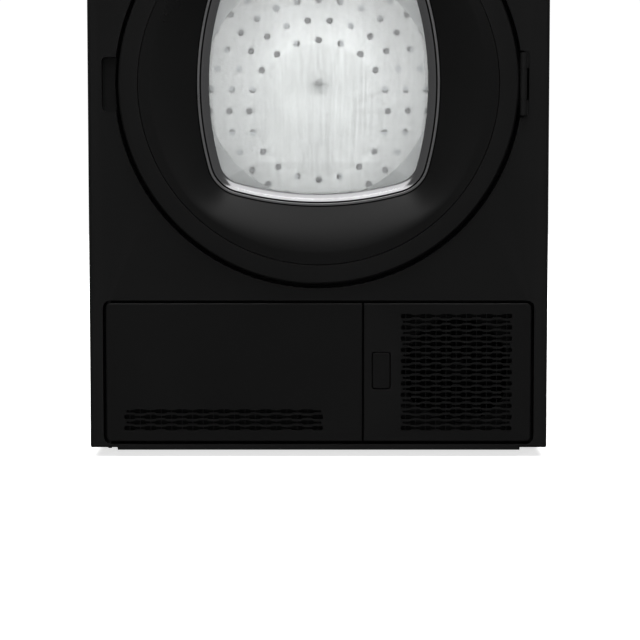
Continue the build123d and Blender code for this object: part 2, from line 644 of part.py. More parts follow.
def motor():
    """Induction motor on two feet, with the pivot stud of the tension arm."""
    body = rod(46, -130, -40, SHAFT_X, SHAFT_Z)
    ends = [rod(38, -140, -129, SHAFT_X, SHAFT_Z), rod(38, -41, -30, SHAFT_X, SHAFT_Z)]
    floor = TRAY_Z + 3
    feet = [block(SHAFT_X - 42, SHAFT_X + 42, y, y + 6, floor, SHAFT_Z - 20) for y in (-124, -52)]
    stud = rod(5, -45, 56, ARM_X, ARM_Z)
    bracket = block(ARM_X - 7, ARM_X + 12, -50, -42, ARM_Z - 18, ARM_Z + 7)
    bore = rod(8.5, -141, -29, SHAFT_X, SHAFT_Z)
    return body + ends + feet + bracket + stud - bore


def motor_shaft():
    """Shaft with the belt pulley turned on it."""
    shaft = rod(8, -241.5, 196, SHAFT_X, SHAFT_Z)
    pulley = rod(PULLEY_R, BELT_Y[0] - 2, BELT_Y[1] + 2, SHAFT_X, SHAFT_Z)
    flanges = [rod(12, y, y + 2, SHAFT_X, SHAFT_Z) for y in (BELT_Y[0] - 4, BELT_Y[1] + 2)]
    return shaft + pulley + flanges


def impeller(outer, y0, y1, blades):
    """Radial fan wheel: back disc, hub and straight blades."""
    disc = rod(outer, y1 - 2, y1, SHAFT_X, SHAFT_Z)
    hub = rod(16, y0, y1, SHAFT_X, SHAFT_Z)
    vanes = []
    for step in range(blades):
        vane = block(12, outer - 1, y0, y1 - 1, -1.2, 1.2)
        vanes.append(Pos(SHAFT_X, 0, SHAFT_Z) * Rot(0, 360 * step / blades, 0) * vane)
    return disc + hub + vanes - rod(8, y0 - 1, y1 + 1, SHAFT_X, SHAFT_Z)


def fan_housing():
    """Scroll around the process fan, open at the front for the shaft and the inlet."""
    outer = rod(88, 144, 202, SHAFT_X, SHAFT_Z)
    cavity = rod(84, 147, 199, SHAFT_X, SHAFT_Z)
    inlet = rod(45, 143, 150, SHAFT_X, SHAFT_Z)
    outlet = block(SHAFT_X + 30, SHAFT_X + 88, 144, 202, SHAFT_Z, SHAFT_Z + 100)
    outlet_bore = block(SHAFT_X + 33, SHAFT_X + 84, 147, 199, SHAFT_Z, SHAFT_Z + 101)
    return outer + outlet - cavity - inlet - outlet_bore


def drive_belt():
    """Flat belt round the drum, the idler and the motor pulley."""
    def loop(extra):
        circles = [Pos(0, DRUM_Z) * CenterArc((0, 0), DRUM_R + extra, 0, 360),
                   Pos(SHAFT_X, SHAFT_Z) * CenterArc((0, 0), PULLEY_R + extra, 0, 360),
                   Pos(IDLER_X, IDLER_Z) * CenterArc((0, 0), IDLER_R + extra, 0, 360)]
        return make_hull(circles)
    return slab(loop(CLEAR + 2) - loop(CLEAR), *BELT_Y)


def tension_arm():
    reach = math.hypot(IDLER_X - ARM_X, IDLER_Z - ARM_Z)
    tilt = math.degrees(math.atan2(IDLER_Z - ARM_Z, IDLER_X - ARM_X))
    bar = Pos(ARM_X, 50, ARM_Z) * Rot(0, -tilt, 0) * block(0, reach, -2, 2, -7, 7)
    ends = rod(11, 48, 52, ARM_X, ARM_Z) + rod(9, 48, 52, IDLER_X, IDLER_Z)
    axle = rod(4, 32, 49, IDLER_X, IDLER_Z)
    return bar + ends + axle - rod(5 + RUN_FIT, 40, 60, ARM_X, ARM_Z)


def idler_pulley():
    return tube(IDLER_R, 4 + RUN_FIT, BELT_Y[0] - 2, BELT_Y[1] + 2, IDLER_X, IDLER_Z)


def condenser_frame():
    """End frames of the heat exchanger; the front one closes the tunnel."""
    front = block(-255, -25, BASE_WALL_Y + 0.4, BASE_WALL_Y + 6, 31, 144)
    grip = slab(rounded(-180, -100, 70, 104, 8), BASE_WALL_Y - 1, BASE_WALL_Y + 3)
    rear = block(-250, -30, 152, 158, 34, 140) - block(-240, -40, 151, 159, 42, 132)
    rails = [block(x, x + 4, BASE_WALL_Y + 5, 155, z, z + 4) for x in (-250, -34) for z in (34, 136)]
    return front - grip + rear + rails


def condenser_core():
    """Stack of aluminium channels between the end frames."""
    core = block(-245.5, -34.5, BASE_WALL_Y + 6.2, 151.5, 38.5, 135.5)
    lefts = [-244.3 + 15 * step for step in range(14)]
    return core - [block(x, x + 13.6, BASE_WALL_Y, 155, 40.5, 133.5) for x in lefts]


def condenser_latch(x):
    """Lever that holds the condenser's front plate, on a stud in the base wall."""
    lever = slab(rounded(x - 8, x + 8, 118, 170, 7.5), BASE_WALL_Y - 6.4, BASE_WALL_Y - 0.4)
    grip = slab(rounded(x - 3, x + 3, 122, 148, 2.5), BASE_WALL_Y - 9, BASE_WALL_Y - 6)
    return lever + grip - rod(4 + RUN_FIT, BASE_WALL_Y - 10, BASE_WALL_Y, x, LATCH_Z)


def latch_stud(x):
    """Shouldered stud that a condenser lever turns on."""
    neck = rod(4, BASE_WALL_Y - 7, BASE_WALL_Y, x, LATCH_Z)
    return neck + rod(6, BASE_WALL_Y - 8.4, BASE_WALL_Y - 6.8, x, LATCH_Z)


def lint_filter():
    """Filter cassette with an open frame, its top follows the loading opening."""
    frame = block(-70, 70, -216, -203, 206.5, 330)
    top = rod(LOAD_R + 0.2, -230, -190, 0, DOOR_Z)
    windows = [block(x, x + 58, -219, -200, 214, 284) for x in (-62, 4)]
    screen = block(-63, 63, -210, -209, 213, 285)
    return frame - top - windows + screen


def tank_housing():
    """Guide tray of the water tank."""
    x0, x1 = TANK_X
    z0 = TANK_Z[0]
    floor = block(x0 - 3, x1 + 3, BULKHEAD_Y + 1, 212, z0 - 3.5, z0 - 0.5)
    walls = [block(x0 - 3, x0 - 0.5, BULKHEAD_Y + 1, 212, z0 - 3.5, 819),
             block(x1 + 0.5, x1 + 3, BULKHEAD_Y + 1, 212, z0 - 3.5, 819),
             block(x0 - 3, x1 + 3, 209, 212, z0 - 3.5, 819)]
    return fuse([floor] + walls)


def water_tank():
    x0, x1 = TANK_X
    z0, z1 = TANK_Z
    outer = block(x0 + 0.5, x1 - 0.5, DOOR_FACE_Y + 22, 200, z0 + 0.5, z1 - 0.5)
    outer = fillet(outer.edges().filter_by(Axis.Y), 6)
    inner = block(x0 + 3, x1 - 3, DOOR_FACE_Y + 25, 197, z0 + 3, z1 - 3)
    inlet = post(14, z1 - 5, z1 + 1, x0 + 40, 160)
    return outer - inner - inlet


def tank_drawer_front():
    """Drawer front with a finger pocket under its upper edge."""
    x0, x1 = TANK_X
    z0, z1 = TANK_Z
    face = slab(rounded(x0, x1, z0, z1, 3), DOOR_FACE_Y, DOOR_FACE_Y + 21.8)
    face = fillet(at_plane(face, Axis.Y, DOOR_FACE_Y), 1.5)
    pocket = block(x0 + 44, x1 - 44, DOOR_FACE_Y - 1, DOOR_FACE_Y + 17, z0 + 12, z1 - 10)
    pocket = fillet(pocket.edges().filter_by(Axis.Y), 6)
    lip = block(x0 + 40, x1 - 40, DOOR_FACE_Y + 5, DOOR_FACE_Y + 17, z1 - 12, z1 - 5)
    return face - pocket - lip


def drain_pump():
    body = block(20, 70, 190, 250, 16, 66)
    top = post(16, 65, 92, 45, 220)
    spout = rod(6, 160, 192, 45, 40) - rod(4, 159, 200, 45, 40)
    return body + top + spout


def cord_gland():
    """Strain relief collar where the mains lead passes through the back."""
    flange = tube(14, 4.5, PANEL_BACK_Y + SHEET, PANEL_BACK_Y + 6, CORD_X, CORD_Z)
    barrel = tube(9.0, 4.5, PANEL_BACK_Y - 8, PANEL_BACK_Y + 3, CORD_X, CORD_Z)
    nose = tube(9.5, 4.5, PANEL_BACK_Y + 5, PANEL_BACK_Y + 18, CORD_X, CORD_Z)
    return flange + barrel + nose


def screw(x, z, y):
    """Head of a cross-slotted screw."""
    head = rod(4.5, y, y + 2.4, x, z)
    cross = block(x - 3, x + 3, y + 1.2, y + 3, z - 0.6, z + 0.6)
    cross += block(x - 0.6, x + 0.6, y + 1.2, y + 3, z - 3, z + 3)
    return head - cross


def cabinet_screws():
    """Screws of the rear panel and of the duct cover."""
    panel = [(side * 289, z) for side in (-1, 1) for z in (30, 220, 420, 620, 800)]
    cover = [(side * 120, z) for side in (-1, 1) for z in (216.5, 703.5)]
    cover += [(side * 204, 460) for side in (-1, 1)]
    screws = [screw(x, z, PANEL_BACK_Y + SHEET) for x, z in panel]
    return screws + [screw(x, z, PANEL_BACK_Y + 2 * SHEET) for x, z in cover]


# ---------------------------------------------------------------- output

def all_parts():
    parts = {
        "base_tray": base_tray(),
        "side_panel_left": side_panel(-1),
        "side_panel_right": side_panel(1),
        "rear_panel": rear_panel(),
        "rear_duct_cover": rear_duct_cover(),
        "front_panel": front_panel(),
        "vent_panel": vent_panel(),
        "worktop": worktop(),
        "control_fascia": control_fascia(),
        "display_window": display_window(),
        "front_bulkhead": front_bulkhead(),
        "felt_seals": felt_seals(),
        "rear_bulkhead": rear_bulkhead(),
        "rear_bearing": rear_bearing(),
        "heater_element": heater_element(),
        "door_hinge_bracket": door_hinge_bracket(),
        "hinge_pins": hinge_pins(),
        "door_lock": door_lock(),
        "door_gasket": door_gasket(),
        "roller_axles": roller_axles(),
        "motor": motor(),
        "drive_belt": drive_belt(),
        "fan_housing": fan_housing(),
        "condenser_frame": condenser_frame(),
        "condenser_core": condenser_core(),
        "tank_housing": tank_housing(),
        "drain_pump": drain_pump(),
        "cord_gland": cord_gland(),
        "cabinet_screws": cabinet_screws(),
        "rear_feet": rear_feet(),
        "door_outer_ring": door_outer_ring(),
        "door_surround": door_surround(),
        "door_window_trim": door_window_trim(),
        "door_window": door_window(),
        "door_liner": door_liner(),
        "door_inner_glass": door_inner_glass(),
        "door_hinge_arm": door_hinge_arm(),
        "door_latch_hook": door_latch_hook(),
        "drum_shell": drum_shell(),
        "drum_back": drum_back(),
        "drum_lifters": drum_lifters(),
        "support_roller_left": support_roller(-1),
        "support_roller_right": support_roller(1),
        "motor_shaft": motor_shaft(),
        "cooling_fan": impeller(64, -246, -206, 11) + rod(16, -246, -242, SHAFT_X, SHAFT_Z),
        "process_fan": impeller(76, 152, 192, 13),
        "tension_arm": tension_arm(),
        "idler_pulley": idler_pulley(),
        "kickplate_flap": kickplate_flap(),
        "latch_button": latch_button(),
        "condenser_latch_left": condenser_latch(LATCH_X[0]),
        "condenser_latch_right": condenser_latch(LATCH_X[1]),
        "lint_filter": lint_filter(),
        "water_tank": water_tank(),
        "tank_drawer_front": tank_drawer_front(),
        "program_knob": program_knob(),
        "front_foot_left": front_foot(-1),
        "front_foot_right": front_foot(1),
    }
    for name, place in KEYS.items():
        parts[name] = fascia_key(*place)
    return parts


def export(name, shape):
    """One STEP file per node; several solids go in one compound."""
    pieces = shape if isinstance(shape, list) else [shape]
    solids = [solid for piece in pieces for solid in piece.solids()]
    whole = solids[0] if len(solids) == 1 else Compound(children=solids)
    export_step(whole, f"parts/{name}.step")


os.makedirs("parts", exist_ok=True)
for part_name, part_shape in all_parts().items():
    export(part_name, part_shape)
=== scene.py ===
"""Looks of the condenser dryer: materials, detailed pieces, studio and camera.

Metres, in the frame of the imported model: +Z up, the front faces -Y.
"""
import json
import math

import bmesh
import bpy
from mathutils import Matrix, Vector


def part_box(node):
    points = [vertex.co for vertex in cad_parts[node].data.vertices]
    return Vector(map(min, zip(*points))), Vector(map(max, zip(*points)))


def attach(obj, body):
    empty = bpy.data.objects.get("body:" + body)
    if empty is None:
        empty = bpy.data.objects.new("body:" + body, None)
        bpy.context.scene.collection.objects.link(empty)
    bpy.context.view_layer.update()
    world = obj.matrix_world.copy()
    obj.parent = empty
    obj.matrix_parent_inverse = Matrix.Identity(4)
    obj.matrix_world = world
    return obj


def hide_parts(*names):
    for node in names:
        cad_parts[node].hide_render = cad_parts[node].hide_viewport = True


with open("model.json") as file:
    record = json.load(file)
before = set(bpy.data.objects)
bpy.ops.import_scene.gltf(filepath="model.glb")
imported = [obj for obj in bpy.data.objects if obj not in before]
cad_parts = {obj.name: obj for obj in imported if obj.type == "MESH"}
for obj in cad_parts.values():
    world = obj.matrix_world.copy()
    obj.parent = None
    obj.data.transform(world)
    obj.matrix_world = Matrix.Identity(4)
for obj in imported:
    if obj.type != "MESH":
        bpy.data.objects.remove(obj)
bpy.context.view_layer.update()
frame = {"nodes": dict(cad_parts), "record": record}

NODES = frame["nodes"]
MM = 0.001


# ---------------------------------------------------------------- materials

class Graph:
    """Small helper around one material's node tree."""

    def __init__(self, name):
        self.material = bpy.data.materials.new(name)
        self.material.use_nodes = True
        self.nodes = self.material.node_tree.nodes
        self.links = self.material.node_tree.links
        self.shader = self.nodes["Principled BSDF"]

    def add(self, kind, **values):
        node = self.nodes.new(kind)
        for key, value in values.items():
            setattr(node, key, value)
        return node

    def link(self, source, target):
        self.links.new(source, target)

    def set(self, **values):
        """Constant shader inputs, with underscores for the spaces in their names."""
        for key, value in values.items():
            self.shader.inputs[key.replace("_", " ")].default_value = value

    def coordinates(self, stretch=(1, 1, 1)):
        """Object coordinates, stretched for directional textures."""
        place = self.add("ShaderNodeTexCoord")
        mapping = self.add("ShaderNodeMapping")
        mapping.inputs["Scale"].default_value = stretch
        self.link(place.outputs["Object"], mapping.inputs["Vector"])
        return mapping.outputs["Vector"]

    def noise(self, scale, detail=3.0, stretch=(1, 1, 1)):
        node = self.add("ShaderNodeTexNoise")
        node.inputs["Scale"].default_value = scale
        node.inputs["Detail"].default_value = detail
        self.link(self.coordinates(stretch), node.inputs["Vector"])
        return node.outputs["Fac"]

    def span(self, value, low, high, start=0.3, end=0.7):
        """Maps a noise value to a range."""
        node = self.add("ShaderNodeMapRange")
        node.inputs["From Min"].default_value = start
        node.inputs["From Max"].default_value = end
        node.inputs["To Min"].default_value = low
        node.inputs["To Max"].default_value = high
        self.link(value, node.inputs["Value"])
        return node.outputs["Result"]

    def blend_colour(self, factor, first, second, target=None):
        """Mixes two colours, each given as numbers or as another node's output."""
        node = self.add("ShaderNodeMix", data_type="RGBA")
        self.link(factor, node.inputs["Factor"])
        for socket, colour in (("A", first), ("B", second)):
            inputs = [i for i in node.inputs if i.name == socket and i.type == "RGBA"]
            if hasattr(colour, "node"):
                self.link(colour, inputs[0])
            else:
                inputs[0].default_value = (*colour, 1)
        result = [o for o in node.outputs if o.type == "RGBA"][0]
        if target is not None:
            self.link(result, target)
        return result

    def bump(self, height, strength, distance):
        node = self.add("ShaderNodeBump")
        node.inputs["Strength"].default_value = strength
        node.inputs["Distance"].default_value = distance
        self.link(height, node.inputs["Height"])
        self.link(node.outputs["Normal"], self.shader.inputs["Normal"])


def lighter(colour, factor):
    """The colour scaled, darker when the factor is under 1."""
    return tuple(min(1.0, c * factor) for c in colour)


def surface(name, colour, roughness, grain, depth, specular=0.5, metallic=0.0, contrast=0.12,
            wear=1.6, stretch=(1, 1, 1), spread=0.06, lines=0.0):
    """Solid material: mottled colour, uneven gloss, fine grain and worn edges.

    With lines, the fine grain also shows in the colour, as brushed or rolled metal does.
    """
    g = Graph(name)
    g.set(Metallic=metallic, Specular_IOR_Level=specular)
    mottle = g.noise(7.0, 4.0, stretch)
    tint = g.blend_colour(mottle, lighter(colour, 1 - contrast), lighter(colour, 1 + contrast))
    if lines:
        dark = lighter(colour, 1 - lines)
        tint = g.blend_colour(g.span(g.noise(grain, 2.0, stretch), 0, 1), dark, tint)
    geometry = g.add("ShaderNodeNewGeometry")
    edge = g.span(geometry.outputs["Pointiness"], 0.0, 0.5, 0.53, 0.62)
    g.blend_colour(edge, tint, lighter(colour, wear), g.shader.inputs["Base Color"])
    smudge = g.noise(11.0, 5.0, stretch)
    g.link(g.span(smudge, roughness - spread, roughness + spread), g.shader.inputs["Roughness"])
    g.bump(g.noise(grain, 2.0, stretch), 0.5, depth)
    return g.material


def glass(name, tint):
    """Clear glass with faint smears and a slightly uneven surface."""
    g = Graph(name)
    g.set(Transmission_Weight=1.0, IOR=1.45, Base_Color=(*tint, 1))
    g.link(g.span(g.noise(9.0, 4.0), 0.0, 0.025), g.shader.inputs["Roughness"])
    g.bump(g.noise(14.0, 1.0), 0.06, 0.0002)
    return g.material


def felt(name, colour):
    """Soft fibres with a faint sheen."""
    g = Graph(name)
    g.set(Roughness=0.95, Sheen_Weight=0.5, Specular_IOR_Level=0.15)
    fibre = g.noise(1400.0, 6.0)
    g.blend_colour(fibre, lighter(colour, 0.7), lighter(colour, 1.25), g.shader.inputs["Base Color"])
    g.bump(fibre, 0.9, 0.0008)
    return g.material


BLACK = (0.0095, 0.0095, 0.0095)
MATERIALS = {
    "body_paint": surface("body_paint", BLACK, 0.42, 700, 0.00002, specular=0.2),
    "trim_plastic": surface("trim_plastic", lighter(BLACK, 0.86), 0.46, 1600, 0.00003, specular=0.2),
    "gloss_plastic": surface("gloss_plastic", lighter(BLACK, 0.67), 0.3, 300, 0.00001, specular=0.35,
                             spread=0.03),
    "window_glass": glass("window_glass", (0.95, 0.96, 0.96)),
    "chrome_trim": surface("chrome_trim", (0.5, 0.5, 0.51), 0.18, 900, 0.00001, metallic=1.0, spread=0.04),
    "satin_trim": surface("satin_trim", (0.66, 0.66, 0.67), 0.3, 900, 0.00001, metallic=1.0, spread=0.04),
    "black_pin": surface("black_pin", (0.02, 0.02, 0.02), 0.4, 700, 0.00002, metallic=0.8),
    "inner_plastic": surface("inner_plastic", (0.42, 0.43, 0.43), 0.45, 1500, 0.00004),
    "drum_steel": surface("drum_steel", (0.45, 0.45, 0.445), 0.34, 420, 0.00004, metallic=0.8,
                          stretch=(1, 1, 0.02), contrast=0.06, lines=0.3),
    "galvanised": surface("galvanised", (0.4, 0.41, 0.42), 0.42, 90, 0.00004, metallic=1.0, contrast=0.25),
    "felt": felt("felt", (0.28, 0.27, 0.24)),
    "rubber": surface("rubber", (0.02, 0.02, 0.02), 0.7, 1200, 0.00008, specular=0.3, wear=2.2),
    "fins": surface("fins", (0.7, 0.71, 0.72), 0.35, 600, 0.00003, metallic=1.0, stretch=(0.05, 1, 1)),
    "motor_metal": surface("motor_metal", (0.05, 0.053, 0.056), 0.5, 350, 0.0002, metallic=0.4),
    "pin_steel": surface("pin_steel", (0.45, 0.45, 0.45), 0.3, 700, 0.00002, metallic=1.0),
    "heater_steel": surface("heater_steel", (0.16, 0.12, 0.1), 0.45, 500, 0.00005, metallic=1.0),
    "bronze": surface("bronze", (0.45, 0.27, 0.11), 0.4, 900, 0.00005, metallic=1.0),
    # partly own black colour, partly painted shade: darkened further so the parts seen through the vent slots
    # and the door's gap read as the shade inside them
    "base_plastic": surface("base_plastic", (0.006, 0.006, 0.006), 0.6, 1100, 0.00005, specular=0.2),
    "tank_plastic": surface("tank_plastic", (0.13, 0.135, 0.14), 0.45, 1500, 0.00004, specular=0.3),
    # painted shade: the cooling fan is made near-black so that, seen through the vent slots, it stands in for
    # the shade inside them
    "painted_shade_fan": surface("painted_shade_fan", (0.0025, 0.0025, 0.0025), 0.65, 1100, 0.00005, specular=0.1),
    "latch_green": surface("latch_green", (0.03, 0.22, 0.08), 0.42, 1300, 0.00004),
    "screen": surface("screen", (0.004, 0.004, 0.005), 0.08, 200, 0.000005, specular=0.6, spread=0.02),
    "key_plastic": surface("key_plastic", (0.08, 0.082, 0.085), 0.35, 1100, 0.00003, metallic=0.6),
    "worktop_laminate": surface("worktop_laminate", (0.006, 0.006, 0.006), 0.5, 1300, 0.00008, specular=0.2),
}

# these nodes look darker than the rest of their slot; the front bulkhead's and the cooling fan's near-black
# is painted shade, standing in for the shade in the door's gap and inside the vent slots
OWN_LOOKS = {"hinge_pins": "black_pin", "front_bulkhead": "base_plastic", "cooling_fan": "painted_shade_fan",
             "water_tank": "tank_plastic"}

for row in frame["record"]["subparts"]:
    node = NODES[row["node"]]
    node.data.materials.clear()
    look = OWN_LOOKS.get(row["node"], row["material_slot"])
    node.data.materials.append(MATERIALS[look])


# ---------------------------------------------------------------- mesh helpers

def build(name, points, faces, slot, body, smooth=True, material=None):
    """New mesh piece from points and faces, riding on a body; material replaces the slot's own look."""
    mesh = bpy.data.meshes.new(name)
    mesh.from_pydata(points, [], faces)
    shape = bmesh.new()
    shape.from_mesh(mesh)
    bmesh.ops.recalc_face_normals(shape, faces=shape.faces)
    shape.to_mesh(mesh)
    shape.free()
    mesh.polygons.foreach_set("use_smooth", [smooth] * len(mesh.polygons))
    if smooth:
        mesh.set_sharp_from_angle(angle=math.radians(24))
    piece = bpy.data.objects.new(name, mesh)
    bpy.context.scene.collection.objects.link(piece)
    mesh.materials.append(material or MATERIALS[slot])
    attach(piece, body)
    return piece


def strip_faces(loops, closed=False):
    """Quads between closed loops of equal length; closed joins the last loop to the first."""
    count = len(loops[0])
    faces = []
    last = len(loops) if closed else len(loops) - 1
    for row in range(last):
        after = (row + 1) % len(loops)
        for i in range(count):
            j = (i + 1) % count
            faces.append((row * count + i, row * count + j, after * count + j, after * count + i))
    return faces


# ---------------------------------------------------------------- door

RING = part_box("door_outer_ring")
DOOR_Z = (RING[0][2] + RING[1][2]) / 2
DOOR_FACE = RING[0][1]
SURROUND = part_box("door_surround")
SEAM_R = (SURROUND[1][0] - SURROUND[0][0]) / 2

# the window's outline: four shallow arcs joined by four round corners
WINDOW_HALF = 159.0 * MM
SIDE_R = 415 * MM
CORNER_R = 50 * MM
OFFSET = SIDE_R - WINDOW_HALF
CORNER_C = (-OFFSET + math.sqrt(2 * (SIDE_R - CORNER_R) ** 2 - OFFSET ** 2)) / 2
CORNER_A = math.atan2(CORNER_C, OFFSET + CORNER_C)
TANGENT = math.atan2(SIDE_R * math.sin(CORNER_A), SIDE_R * math.cos(CORNER_A) - OFFSET)

# the surround falls from its flat rim to the window, and the pane lies a little behind its edge
BELL_DEPTH = 18 * MM
FLAT_SHARE = 0.2
SHEET = 3.5 * MM
PANE_SET_BACK = 4.6 * MM
PANE_INSET = 13 * MM
PANE_BULGE = 5.5 * MM
PANE_THICK = 2.0 * MM
TURN = 320


def ray_circle(angle, cx, cz, radius):
    """Distance from the door's centre to a circle, along a ray that starts inside it."""
    along = cx * math.cos(angle) + cz * math.sin(angle)
    return along + math.sqrt(along ** 2 - cx ** 2 - cz ** 2 + radius ** 2)


def cushion_radius(angle, inset):
    """Polar radius of the window outline, inset evenly."""
    quarter = math.pi / 2
    local = (angle + quarter / 2) % quarter - quarter / 2
    side = abs(local)
    if side <= TANGENT:
        return ray_circle(side, -OFFSET, 0, SIDE_R - inset)
    return ray_circle(side, CORNER_C, CORNER_C, CORNER_R - inset)


def door_loop(radius_of, y):
    """Closed loop around the door's centre."""
    loop = []
    for i in range(TURN):
        angle = 2 * math.pi * i / TURN
        r = radius_of(angle)
        loop.append((r * math.cos(angle), y, DOOR_Z + r * math.sin(angle)))
    return loop


def cushion_sweep(name, profile, slot, material=None):
    """Ring around the window: profile is a closed list of (inset, y) in millimetres."""
    loops = [door_loop(lambda a, s=inset: cushion_radius(a, s * MM), y * MM) for inset, y in profile]
    points = [p for loop in loops for p in loop]
    return build(name, points, strip_faces(loops, closed=True), slot, "door", material=material)


def bell_depth(t):
    """Depth behind the door's face; t is 0 at the window and 1 at the seam.

    The rim is flat, then the surface bends down and ends in a straight slope at the window.
    """
    fall = max(0.0, 1 - t / (1 - FLAT_SHARE))
    bend = 0.77
    power = 1.32
    rise = bend / power
    steep = BELL_DEPTH / (rise + 1 - bend)
    if fall < bend:
        return steep * rise * (fall / bend) ** power
    return steep * (rise + fall - bend)


def door_surround():
    """Polished surround: flat rim, then a bell that curves down to the window."""
    edge = 0.6 * MM
    steps = 40

    def ring(t, y):
        return door_loop(lambda a: (1 - t) * cushion_radius(a, 0) + t * SEAM_R, y)

    loops = [door_loop(lambda a: SEAM_R, DOOR_FACE + SHEET)]
    loops.append(door_loop(lambda a: SEAM_R, DOOR_FACE + edge))
    loops.append(door_loop(lambda a: SEAM_R - edge, DOOR_FACE))
    for k in range(steps + 1):
        t = 0.985 * (1 - k / steps)
        loops.append(ring(t, DOOR_FACE + bell_depth(t)))
    loops.append(ring(0.004, DOOR_FACE + bell_depth(0) + 1.5 * MM))
    loops += [ring(t, DOOR_FACE + SHEET + bell_depth(t)) for t in (0.02, 0.15, 0.3, 0.5, 0.75, 0.98)]
    points = [p for loop in loops for p in loop]
    piece = build("surround_bell", points, strip_faces(loops, closed=True), "gloss_plastic", "door")
    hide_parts("door_surround")


def window_trim():
    """Satin outer band, dark groove and polished bevel around the pane.

    The profiles are in millimetres: how far in from the window's outline, and y.
    """
    y = (DOOR_FACE + bell_depth(0)) / MM
    band = [(1.6, y + 5.0), (1.6, y - 0.3), (1.9, y - 0.6), (4.3, y - 0.65), (4.55, y - 0.52), (4.6, y - 0.3),
            (4.4, y + 0.4), (4.4, y + 5.0)]
    outer = cushion_sweep("window_band", band, "chrome_trim", MATERIALS["satin_trim"])
    groove = [(-0.6, y + 5.0), (-0.6, y + 3.9), (6.8, y + 3.9), (6.8, y + 5.0)]
    cushion_sweep("window_groove", groove, "base_plastic")
    bevel = [(6.8, y + 5.0), (6.8, y - 1.1), (7.1, y - 1.3), (10.0, y), (11.2, y + 1.1), (13.4, y + 2.0),
             (15.6, y + 2.9), (16.8, y + 3.15), (16.9, y + 4.4), (15.0, y + 5.0)]
    cushion_sweep("window_bevel", bevel, "chrome_trim")
    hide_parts("door_window_trim")


def window_pane():
    """Slightly domed pane, closed with a point at its centre on both faces."""
    rim = DOOR_FACE + bell_depth(0) + PANE_SET_BACK
    rings = 14

    def face(back):
        loops = []
        for k in range(1, rings + 1):
            share = k / rings
            y = rim - PANE_BULGE * (1 - share ** 2) + back
            loops.append(door_loop(lambda a, s=share: s * cushion_radius(a, PANE_INSET), y))
        return loops

    loops = face(0) + face(PANE_THICK)[::-1]
    points = [p for loop in loops for p in loop]
    faces = strip_faces(loops)
    centre = len(points)
    points += [(0, rim - PANE_BULGE + back, DOOR_Z) for back in (0, PANE_THICK)]
    last = (len(loops) - 1) * TURN
    for i in range(TURN):
        j = (i + 1) % TURN
        faces.append((centre, j, i))
        faces.append((centre + 1, last + i, last + j))
    piece = build("window_pane", points, faces, "window_glass", "door")
    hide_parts("door_window")


door_surround()
window_trim()
window_pane()


# ---------------------------------------------------------------- inside

def drum_beads():
    """Rolled beads that stiffen the drum's wall; middles and width are in millimetres."""
    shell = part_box("drum_shell")
    wall = 0.8 * MM
    radius = (shell[1][0] - shell[0][0]) / 2 - wall
    axis_z = (shell[0][2] + shell[1][2]) / 2
    middles = (-110, -20, 70, 160)
    width = 12
    height = 2.2 * MM
    rows = 9
    count = 180
    loops = []
    for middle in middles:
        for k in range(rows):
            share = k / (rows - 1)
            inner = radius - height * math.sin(math.pi * share)
            y = (middle - width / 2 + width * share) * MM
            loop = []
            for i in range(count):
                angle = 2 * math.pi * i / count
                loop.append((inner * math.cos(angle), y, axis_z + inner * math.sin(angle)))
            loops.append(loop)
    points = [p for loop in loops for p in loop]
    faces = []
    for bead in range(len(middles)):
        first = bead * rows * count
        faces += [tuple(v + first for v in face) for face in strip_faces(loops[:rows])]
    build("drum_beads", points, faces, "drum_steel", "drum")


def box_faces(x0, x1, y0, y1, z0, z1, first):
    """Corner points and faces of one wire of a grid; first is the number of its first point."""
    points = [(x, y, z) for x in (x0, x1) for y in (y0, y1) for z in (z0, z1)]
    quads = ((0, 1, 3, 2), (4, 6, 7, 5), (0, 4, 5, 1), (2, 3, 7, 6), (0, 2, 6, 4), (1, 5, 7, 3))
    return points, [tuple(first + i for i in quad) for quad in quads]


def lint_mesh():
    """Woven screen in the two windows of the lint filter."""
    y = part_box("lint_filter")[0][1] + 5.6 * MM
    low = 214.5 * MM
    high = 283.5 * MM
    width = 57 * MM
    pitch = 2.4 * MM
    wire = 0.35 * MM
    upright_count = 24
    level_count = 28
    points = []
    faces = []
    for left in (-61.5 * MM, 4.5 * MM):
        for k in range(upright_count):
            x = left + (k + 0.5) * pitch
            more, quads = box_faces(x - wire, x + wire, y - wire, y + wire, low, high, len(points))
            points += more
            faces += quads
        for k in range(level_count):
            z = low + 1 * MM + (k + 0.5) * pitch
            more, quads = box_faces(left, left + width, y - 2 * wire, y - wire / 2, z - wire, z + wire,
                                    len(points))
            points += more
            faces += quads
    build("lint_mesh", points, faces, "latch_green", "lint_filter", smooth=False)


drum_beads()
lint_mesh()


# ---------------------------------------------------------------- controls

PRINT_LIFT = 0.1 * MM
PRINT_DEPTH = 0.25 * MM
SEGMENTS = {"0": "abcdef", "1": "bc", "3": "abgcd"}


def flat_mark(points_xz, y):
    """Points and faces of a thin printed or lit mark on a plane facing the front."""
    count = len(points_xz)
    points = [(x, y + back, z) for back in (0, PRINT_DEPTH) for x, z in points_xz]
    faces = [tuple(range(count)), tuple(range(2 * count - 1, count - 1, -1))]
    for i in range(count):
        j = (i + 1) % count
        faces.append((i, i + count, j + count, j))
    return points, faces


def join_marks(name, outlines, front, material, slot, body):
    """One piece from several marks, a hair in front of the surface at y = front."""
    points = []
    faces = []
    for outline in outlines:
        more, quads = flat_mark(outline, front - PRINT_LIFT)
        shift = len(points)
        points += more
        faces += [tuple(i + shift for i in face) for face in quads]
    build(name, points, faces, slot, body, smooth=False, material=material)


def bar(cx, cz, length, width, angle):
    """Rectangle outline turned by an angle about its centre."""
    c = math.cos(angle)
    s = math.sin(angle)
    corners = ((-1, -1), (1, -1), (1, 1), (-1, 1))
    return [(cx + u * length / 2 * c - v * width / 2 * s, cz + u * length / 2 * s + v * width / 2 * c)
            for u, v in corners]


